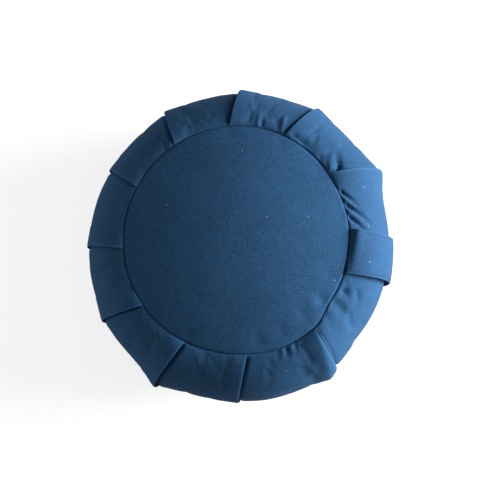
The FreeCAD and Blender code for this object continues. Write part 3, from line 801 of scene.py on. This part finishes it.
def base_profile():
    """From the middle of the base out along the floor, up to its seam and into it."""
    flat = BASE_FLAT
    points = [(flat * ring / 12, BASE_LIFT) for ring in range(13)]
    reach, rise = SEAM_RADIUS - flat, BOTTOM_SEAM
    radius = (reach * reach + rise * rise) / (2 * rise)
    for step in range(1, 7):
        across = (reach - 1.2 * MM) * step / 6
        points.append((flat + across, BASE_LIFT + radius - math.sqrt(radius ** 2 - across ** 2)))
    points.append((SEAM_RADIUS - 0.5 * MM, BOTTOM_SEAM + 0.6 * MM))
    points.append((SEAM_RADIUS - 0.35 * MM, BOTTOM_SEAM + 3.2 * MM))
    return points


def make_base_panel():
    bm = spun_profile(base_profile(), STEPS_ROUND)
    for vert in bm.verts:
        vert.co = oval(vert.co)
    bmesh.ops.reverse_faces(bm, faces=[face for face in bm.faces if face.normal.z > 0.5])
    piece = finish_mesh("flat_base_panel", bm, canvas_flat, "cushion")
    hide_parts("bottom_panel")
    return piece


base_panel = make_base_panel()
print("base panel", len(base_panel.data.polygons), "faces")

# %% [markdown]
# ## Thread, plastic and metal
# The small parts each have their own surface. Thread is twisted, so thin slanting bands run round it. The
# zip's coil is nylon, and its slider is cast metal with a dull blue lacquer that has worn a little. The
# hulls of the fill are small brown shells, each a little different. A flat colour would do for parts this
# small, but they are looked at from close by when the cushion is taken apart.

# %% Thread
def thread_material(name, colour):
    material, tree, shader = new_material(name)
    where = add_node(tree, "ShaderNodeTexCoord").outputs["Object"]
    ply = add_node(tree, "ShaderNodeTexWave", wave_type="BANDS", bands_direction="DIAGONAL")
    ply.inputs["Scale"].default_value = 900
    ply.inputs["Distortion"].default_value = 1.5
    wire(tree, where, ply.inputs["Vector"])
    dark, light = [part * 0.7 for part in colour], [part * 1.25 for part in colour]
    wire(tree, mixed_colour(tree, ply.outputs["Fac"], dark, light), shader.inputs["Base Color"])
    raise_surface(tree, shader, ply.outputs["Fac"], 0.4, 0.1 * MM)
    shader.inputs["Roughness"].default_value = 0.6
    return material


# %% Plastic and metal
def grained_material(name, dark, light, rough, metallic=0.0, grain=300):
    """A surface whose colour and roughness vary with one fine noise."""
    material, tree, shader = new_material(name)
    where = add_node(tree, "ShaderNodeTexCoord").outputs["Object"]
    speckle = stretched_noise(tree, where, (grain, grain, grain), 3.0, 0.6)
    wire(tree, mixed_colour(tree, speckle, dark, light), shader.inputs["Base Color"])
    wire(tree, math_node(tree, "MULTIPLY_ADD", speckle, 0.2, rough), shader.inputs["Roughness"])
    raise_surface(tree, shader, speckle, 0.3, 0.1 * MM)
    shader.inputs["Metallic"].default_value = metallic
    return material


# %% Buckwheat hulls
def hull_material():
    """Buckwheat hulls seen as a heap: small brown shells, each a little different."""
    material, tree, shader = new_material("hulls")
    where = add_node(tree, "ShaderNodeTexCoord").outputs["Object"]
    shells = add_node(tree, "ShaderNodeTexVoronoi", feature="F1")
    shells.inputs["Scale"].default_value = 230
    wire(tree, where, shells.inputs["Vector"])
    each = add_node(tree, "ShaderNodeSeparateColor")
    wire(tree, shells.outputs["Color"], each.inputs[0])
    tone = mixed_colour(tree, each.outputs[0], (0.035, 0.018, 0.010), (0.13, 0.075, 0.04))
    wire(tree, tone, shader.inputs["Base Color"])
    raise_surface(tree, shader, shells.outputs["Distance"], 1.0, 1.2 * MM, invert=True)
    shader.inputs["Roughness"].default_value = 0.55
    return material


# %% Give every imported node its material
NAVY = (0.012, 0.038, 0.085)
thread = thread_material("sewing_thread", (0.016, 0.050, 0.110))
liner_thread = thread_material("liner_thread", (0.62, 0.58, 0.50))
tape_cloth = cloth_material("zip_tape", NAVY, (0.03, 0.07, 0.13), threads=2600,
                            source=None, lint=0.0, depth=0.08)
liner_cloth = cloth_material("liner_cloth", (0.55, 0.51, 0.43), (0.7, 0.67, 0.6), threads=1500, sheen=0.1,
                             source=None, lint=0.0, depth=0.1)
coil_plastic = grained_material("zip_coil", (0.010, 0.032, 0.072), (0.018, 0.052, 0.110), 0.35, grain=900)
zip_metal = grained_material("zip_metal", (0.030, 0.050, 0.085), (0.055, 0.085, 0.130), 0.28, 0.9, 260)
hulls = hull_material()

KEPT_NODES = {
    "top_seam_thread": thread, "bottom_seam_thread": thread, "closing_seam_thread": thread,
    "zip_tape_left": tape_cloth, "zip_tape_right": tape_cloth,
    "zip_top_stops": zip_metal, "zip_bottom_stop": zip_metal,
    "zip_slider": zip_metal, "zip_pull_tab": zip_metal,
    "liner_top_panel": liner_cloth, "liner_bottom_panel": liner_cloth, "liner_side_panel": liner_cloth,
    "liner_top_seam_thread": liner_thread, "liner_bottom_seam_thread": liner_thread, "hull_fill": hulls,
}
for name, material in KEPT_NODES.items():
    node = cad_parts[name]
    node.data.materials.clear()
    node.data.materials.append(material)
print("repainted", len(KEPT_NODES), "packed nodes")

# %% [markdown]
# ## The carry strap
# The strap is one folded strip of canvas, stitched along both edges and sewn into the two round seams. One of
# its edges leaves the seam flat, the other sinks in and humps up again, and then the strap follows the band
# closely, bowed out along its middle line, where the slider and its pull pass behind it. It is made in two
# halves that meet at the middle of the grip, one the mirror of the other. A strap this narrow would be lost
# in a simulation, so it is bent by rule.

# %% The strap's sizes
GRIP_HALF_ANGLE = math.radians(40)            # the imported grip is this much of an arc, up and down
STRAP_WIDTH = grip_high[1] - grip_low[1]
STRAP_THICK = 2.5 * MM
STRAP_OUTSIDE = (grip_high[2] - grip_low[2]) / 2 / math.sin(GRIP_HALF_ANGLE)
STRAP_RADIUS = STRAP_OUTSIDE - STRAP_THICK / 2
STRAP_AXIS = grip_high[0] - STRAP_OUTSIDE
STRAP_IN = 7.4 * MM                           # it lies this much closer to the band at its middle
STRAP_BOW = 1.3 * MM                          # its middle line stands out from its edges, over the zip
STRAP_HOLLOW, HOLLOW_WIDTH = 1.35 * MM, 8.0 * MM     # it is thin between its hems, to let the slider pass
SEAM_SINK, SEAM_RAMP = 2.6 * MM, 5.8 * MM     # how deep its sunk edge leaves the seam, and how soon it is up
HUMP, HUMP_PLACE, HUMP_WIDTH = 2.6 * MM, 8.5 * MM, 6.0 * MM
STRAP_SKEW = 1.7 * MM                         # its middle lies a little to one side
STRAP_TILT = 0.9 * MM                         # and one edge a little lower than the other
TUCK = 4.5 * MM                               # how far the strap's end goes down into the seam
STITCH_INSET = 3.0 * MM
STITCH_DIP, STITCH_DIP_WIDTH = 0.55 * MM, 0.8 * MM

strap_start = math.acos((SEAM_RADIUS + 0.3 * MM - STRAP_AXIS) / STRAP_RADIUS)
STRAP_HALF = strap_start * STRAP_RADIUS
print("strap %.0f mm wide, each half %.0f mm long" % (STRAP_WIDTH / MM, STRAP_HALF / MM))


# %% The strap's path and section
def strap_point(along, across, off):
    """A point of the upper half: along from the seam, across the width, off the middle surface."""
    side = across / (STRAP_WIDTH / 2)
    if along < 0:
        edge_point = strap_point(0.0, across, off)
        return edge_point + Vector((off * 0.2, 0, along))
    turn = strap_start - along / STRAP_RADIUS
    hump = HUMP * math.exp(-((along - HUMP_PLACE) / HUMP_WIDTH) ** 2) * (0.5 + 0.5 * side)
    middle = math.cos(turn) ** 2.3
    lift = hump - STRAP_IN * middle - STRAP_TILT * side * smooth(0, 30 * MM, along)
    flat = 1 - smooth(0, SEAM_RAMP, along)
    lift -= SEAM_SINK * flat * (0.5 + 0.5 * side)
    away, skew = smooth(0, 26 * MM, along), STRAP_SKEW * smooth(0, STRAP_HALF, along)
    lift += STRAP_BOW * (1 - side * side) * away
    if off < 0:
        hollow = STRAP_HOLLOW / (STRAP_THICK / 2) * math.exp(-((across + skew) / HOLLOW_WIDTH) ** 2)
        off *= 1 - hollow * away
    off *= 1 - 0.5 * flat
    radius = STRAP_RADIUS + lift + off
    return Vector((STRAP_AXIS + radius * math.cos(turn), across + skew, MIDDLE + radius * math.sin(turn)))


def strap_section():
    """The closed outline of the folded strip, with a small dip along each row of stitches."""
    half, flat = STRAP_WIDTH / 2, STRAP_WIDTH / 2 - STRAP_THICK / 2
    across = [flat, flat - 0.7 * MM, half - STITCH_INSET + 0.5 * MM, half - STITCH_INSET,
              half - STITCH_INSET - 0.6 * MM, half - STITCH_INSET - 1.5 * MM]
    last = across[-1]
    across += [last * (1 - step / 8) for step in range(1, 8)]
    across += [0.0] + [-place for place in reversed(across)]
    face = []
    for place in across:
        dip = STITCH_DIP * math.exp(-((abs(place) - half + STITCH_INSET) / STITCH_DIP_WIDTH) ** 2)
        face.append((place, STRAP_THICK / 2 - dip))
    turns = [math.pi / 2 + math.pi * step / 6 for step in range(1, 6)]
    edge_round = [(-flat + STRAP_THICK / 2 * math.cos(turn), STRAP_THICK / 2 * math.sin(turn))
                  for turn in turns]
    outline = face + edge_round
    return outline + [(-place, -off) for place, off in outline] + [outline[0]]


def strap_rows():
    """How far along the half each row lies: close together where it leaves the seam, then even."""
    near = [-TUCK, -TUCK / 2, 0.0, 1.0 * MM, 2.2 * MM, 3.8 * MM, 5.6 * MM, 7.6 * MM]
    even = 34
    return near + [near[-1] + (STRAP_HALF - near[-1]) * step / even for step in range(1, even + 1)]


# %% Make the strap's halves
# the side given to make_strap_half is 1 for the upper half and -1 for the lower
# the strap's edges are painted paler over this width: some wear, and a painted highlight on the folded edge
STRAP_WEAR_AND_HIGHLIGHT_WIDTH = 1.6 * MM


def mirrored(point, side):
    """The lower half is the upper one, mirrored in the cushion's middle plane."""
    return Vector((point.x, point.y, point.z if side > 0 else 2 * MIDDLE - point.z))


def make_strap_half(name, side, *nodes):
    outline, rows = strap_section(), strap_rows()
    girths = [0.0]
    for near, far in zip(outline, outline[1:]):
        girths.append(girths[-1] + math.dist(near, far))

    def place(column, row):
        across, off = outline[column]
        return mirrored(strap_point(rows[row], across, off), side)

    def cloth(column, row):
        return girths[column], rows[row]

    bm, _ = bent_grid(len(outline), len(rows), place, cloth)
    bmesh.ops.remove_doubles(bm, verts=bm.verts, dist=1e-5)
    crispness = bm.edges.layers.float.new("crease_edge")
    ends = [edge for edge in bm.edges if edge.is_boundary]
    for edge in ends:
        edge[crispness] = 1.0
        edge.smooth = False
    halfway = (MIDDLE + TOP_SEAM) / 2 if side > 0 else (MIDDLE + BOTTOM_SEAM) / 2
    for sewn in (True, False):
        rim = [edge for edge in ends if (side * edge.verts[0].co.z > side * halfway) == sewn]
        bmesh.ops.triangle_fill(bm, edges=rim, use_beauty=True, use_dissolve=False)
    bmesh.ops.recalc_face_normals(bm, faces=bm.faces)
    piece = finish_mesh(name, bm, canvas, None, levels=0)
    # paler towards the strap's edges: some wear, and a painted highlight on the folded edge
    wear_and_highlight = [max(0.0, 1 - (STRAP_WIDTH / 2 - abs(vert.co.y)) / STRAP_WEAR_AND_HIGHLIGHT_WIDTH)
            for vert in piece.data.vertices]
    mark_wear_and_highlight(piece, wear_and_highlight)
    refine(piece)
    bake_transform(piece)
    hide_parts(*nodes)
    return piece


strap_upper = make_strap_half("strap_upper_half", 1, "handle_upper_leg", "handle_grip")
strap_lower = make_strap_half("strap_lower_half", -1, "handle_lower_leg")
print("strap halves", len(strap_upper.data.polygons), len(strap_lower.data.polygons), "faces")

# %% [markdown]
# ## Stitches
# A lockstitch shows as short lengths of thread that go down into the cloth at both ends. Each one is a small
# capsule, bowed a little, laid along its row. A texture could draw them, but they would vanish from the side.

# %% One stitch
# along the stitch: share of its length, of its girth, and how high it stands
STITCH_RINGS = ((0, 0.35, -0.3), (0.15, 0.9, 0.05), (0.5, 1, 0.3), (0.85, 0.9, 0.05), (1, 0.35, -0.3))


def add_stitch(bm, start, end, outward, radius=0.27 * MM, sides=6):
    """One stitch: a ring of points at each of five places, thinner and lower at the ends."""
    along = (end - start).normalized()
    across = outward.cross(along).normalized()
    rings = []
    for share, girth, lift in STITCH_RINGS:
        centre = start.lerp(end, share) + outward * lift * radius * 1.6
        ring = bmesh.ops.create_circle(bm, segments=sides, radius=radius * girth, cap_ends=share in (0, 1))
        turned = Matrix((across, outward, along)).transposed().to_4x4()
        turned.translation = centre
        bmesh.ops.transform(bm, matrix=turned, verts=ring["verts"])
        rings.append(ring["verts"])
    for near, far in zip(rings, rings[1:]):
        edges = [edge for edge in {edge for vert in near + far for edge in vert.link_edges}
                 if all(vert in near for vert in edge.verts) or all(vert in far for vert in edge.verts)]
        bmesh.ops.bridge_loops(bm, edges=edges)


# %% The strap's rows of stitches
STITCH, STITCH_STEP = 2.5 * MM, 3.3 * MM      # a stitch, and from one to the next
FIRST_STITCH = 3 * MM
STITCH_SUNK = 0.42 * MM                       # how deep the rows lie under the strap's faces


def strap_stitches(name, side, *nodes):
    bm = bmesh.new()
    count = int((STRAP_HALF - FIRST_STITCH) / STITCH_STEP)
    for row in (-1, 1):
        across = row * (STRAP_WIDTH / 2 - STITCH_INSET)
        for face in (-1, 1):
            off = face * (STRAP_THICK / 2 - STITCH_SUNK)
            for step in range(count):
                start = strap_point(FIRST_STITCH + step * STITCH_STEP, across, off)
                end = strap_point(FIRST_STITCH + step * STITCH_STEP + STITCH, across, off)
                outward = (end - start).cross(Vector((0, 1, 0))).normalized() * -face
                if outward.dot(start - Vector((STRAP_AXIS, 0, MIDDLE))) * face < 0:
                    outward = -outward
                add_stitch(bm, mirrored(start, side), mirrored(end, side),
                           Vector((outward.x, outward.y, outward.z * side)))
    bmesh.ops.recalc_face_normals(bm, faces=bm.faces)
    piece = finish_mesh(name, bm, thread, None)
    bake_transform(piece)
    if nodes:
        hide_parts(*nodes)
    return piece


stitches_upper = strap_stitches("strap_stitches_upper", 1, "handle_edge_stitching")
stitches_lower = strap_stitches("strap_stitches_lower", -1)
print("strap stitches", len(stitches_upper.data.polygons), len(stitches_lower.data.polygons), "faces")

# %% [markdown]
# ## The zip
# A coil zip's teeth are one nylon spiral along each tape. The spiral is swept along the same arc as the
# packed coil: a grid is rolled into a thin tube that follows it. The lips of the band beside it carry a row
# of stitches that hold the tape.

# %% The zip's spirals
COIL_INNER, COIL_OUTER = 0.6 * MM, 3.4 * MM           # how far across from the zip's line it reaches
COIL_TALL = 0.85 * MM
COIL_PITCH, COIL_WIRE = 1.5 * MM, 0.30 * MM


def zip_point(turn, radius, across):
    return Vector((ARC_AXIS + radius * math.cos(turn), across, MIDDLE + radius * math.sin(turn)))


def make_coil(node):
    low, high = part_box(node)
    side = 1 if low[1] + high[1] > 0 else -1
    outside = high[0] - ARC_AXIS
    middle, tall = outside - 1.2 * MM, COIL_TALL
    centre, wide = (COIL_INNER + COIL_OUTER) / 2, (COIL_OUTER - COIL_INNER) / 2 - COIL_WIRE
    sides, steps = 6, 12
    turns = int(2 * ZIP_RISE * middle / COIL_PITCH)

    def path(place):
        spin = math.tau * place
        turn = ZIP_RISE - place * COIL_PITCH / middle
        return zip_point(turn, middle + tall * math.sin(spin), side * (centre + wide * math.cos(spin)))

    def place(column, row):
        here = column / steps
        ahead = (path(here + 0.01) - path(here - 0.01)).normalized()
        out = ahead.cross(Vector((0, 1, 0))).normalized()
        aside = ahead.cross(out)
        spin = math.tau * row / sides
        return path(here) + (out * math.cos(spin) + aside * math.sin(spin)) * COIL_WIRE

    bm, _ = bent_grid(turns * steps + 1, sides + 1, place)
    bmesh.ops.remove_doubles(bm, verts=bm.verts, dist=1e-6)
    bmesh.ops.holes_fill(bm, edges=[edge for edge in bm.edges if edge.is_boundary], sides=sides + 1)
    bmesh.ops.recalc_face_normals(bm, faces=bm.faces)
    piece = finish_mesh(node + "_spiral", bm, coil_plastic, "cushion")
    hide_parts(node)
    return piece


for node in ("zip_coil_left", "zip_coil_right"):
    print(node, len(make_coil(node).data.polygons), "faces")


# %% The zip's stitches
def make_zip_stitches():
    bm = bmesh.new()
    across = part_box("zip_stitching")[1][1] - 0.3 * MM
    lift = ARC_RADIUS + FIRST_FULLNESS * 0.6 + 0.12 * MM
    count = int(2 * ZIP_RISE * ARC_RADIUS / STITCH_STEP)
    for side in (-1, 1):
        for step in range(count):
            top = ZIP_RISE - step * STITCH_STEP / ARC_RADIUS
            start = zip_point(top, lift, side * across)
            end = zip_point(top - STITCH / ARC_RADIUS, lift, side * across)
            outward = zip_point(top, 1.0, 0) - zip_point(top, 0.0, 0)
            add_stitch(bm, start, end, outward.normalized())
    bmesh.ops.recalc_face_normals(bm, faces=bm.faces)
    piece = finish_mesh("zip_tape_stitches", bm, thread, "cushion")
    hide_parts("zip_stitching")
    return piece


print("zip stitches", len(make_zip_stitches().data.polygons), "faces")

# %% [markdown]
# ## Light, floor and camera
# The cushion lies on a pale floor, lit from one side. A wide window, low and to the right, makes the pleats
# stand out; a weak bounce from the left and a little light from all round keep the far side readable. The
# floor glows a little for the camera alone, so that it looks white without lighting the cloth from below. A
# brighter floor or a stronger sky would do that too, but it would wash the folds out. The camera looks down
# from a little to one side.

# %% The floor
FLOOR_SIZE = 4.0
FLOOR_GLOW, FLOOR_SEEN = 0.08, 0.66           # what it gives the cushion, and what the camera sees more


def make_floor():
    bm = bmesh.new()
    bmesh.ops.create_grid(bm, x_segments=2, y_segments=2, size=FLOOR_SIZE)
    mesh = bpy.data.meshes.new("floor")
    bm.to_mesh(mesh)
    bm.free()
    floor = add_object("floor", mesh)
    material, tree, shader = new_material("pale_floor")
    shader.inputs["Base Color"].default_value = (0.55, 0.55, 0.55, 1)
    shader.inputs["Roughness"].default_value = 0.9
    shader.inputs["Emission Color"].default_value = (1, 1, 1, 1)
    only_seen = add_node(tree, "ShaderNodeLightPath").outputs["Is Camera Ray"]
    glow = math_node(tree, "MULTIPLY_ADD", only_seen, FLOOR_SEEN, FLOOR_GLOW)
    wire(tree, glow, shader.inputs["Emission Strength"])
    mesh.materials.append(material)
    return floor


print("floor", [round(side, 1) for side in make_floor().dimensions[:2]], "metres")


# %% The lights
def aim(thing, target):
    thing.rotation_euler = (Vector(target) - thing.location).to_track_quat("-Z", "Y").to_euler()


def area_light(name, place, target, size, power, colour=(1, 1, 1)):
    data = bpy.data.lights.new(name, "AREA")
    data.shape = "RECTANGLE"
    data.size, data.size_y = size
    data.energy = power
    data.color = colour
    light = add_object(name, data)
    light.location = place
    aim(light, target)


VIEW_TURN = math.radians(7)
# each light: where it stands, what it faces, its width and height in metres, its watts and its colour
window = Matrix.Rotation(VIEW_TURN, 3, "Z") @ Vector((1.60, 0.16, 0.47))
area_light("window", window, (0, 0, 0.10), (1.0, 0.7), 81)
area_light("overhead", (-0.1, 0.3, 1.8), (0, 0, 0), (1.6, 1.6), 0.6)
bounce = Matrix.Rotation(VIEW_TURN, 3, "Z") @ Vector((-1.30, 0.05, 0.45))
area_light("bounce", bounce, (0, 0, 0.08), (1.0, 0.8), 5.8, (1.0, 0.99, 0.96))

# %% The light all round
SKY_STRENGTH = 0.146
world = bpy.data.worlds.new("studio")
bpy.context.scene.world = world
world.use_nodes = True
sky = world.node_tree
soft_light = sky.nodes["Background"]
soft_light.inputs["Color"].default_value = (0.97, 0.98, 0.97, 1)
soft_light.inputs["Strength"].default_value = SKY_STRENGTH
backdrop = add_node(sky, "ShaderNodeBackground")
backdrop.inputs["Color"].default_value = (0.96, 0.97, 0.98, 1)
seen_or_lit = add_node(sky, "ShaderNodeMixShader")
seen = add_node(sky, "ShaderNodeLightPath").outputs["Is Camera Ray"]
for socket, source in enumerate((seen, soft_light.outputs[0], backdrop.outputs[0])):
    wire(sky, source, seen_or_lit.inputs[socket])
wire(sky, seen_or_lit.outputs[0], sky.nodes["World Output"].inputs["Surface"])
bpy.context.scene.view_settings.view_transform = "Standard"
print("light all round", SKY_STRENGTH)

# %% The camera
VIEW_ELEVATION = math.radians(81.2)
VIEW_SIDE = math.radians(20)
VIEW_DISTANCE = 1.5
VIEW_TARGET = Vector((0.0135, -0.003, 0.071))
LENS = 95.5


def make_camera():
    data = bpy.data.cameras.new("camera")
    data.lens = LENS
    data.sensor_width = 36
    camera = add_object("camera", data)
    from_turn = math.radians(-90) + VIEW_TURN + VIEW_SIDE
    away = Vector((math.cos(VIEW_ELEVATION) * math.cos(from_turn),
                   math.cos(VIEW_ELEVATION) * math.sin(from_turn), math.sin(VIEW_ELEVATION)))
    camera.location = VIEW_TARGET + away * VIEW_DISTANCE
    forward = -away
    up_hint = Vector((-math.sin(VIEW_TURN), math.cos(VIEW_TURN), 0))
    right = forward.cross(up_hint).normalized()
    up = right.cross(forward)
    camera.rotation_euler = Matrix((right, up, away)).transposed().to_euler()
    bpy.context.scene.camera = camera
    return camera


print("camera at", make_camera().location)
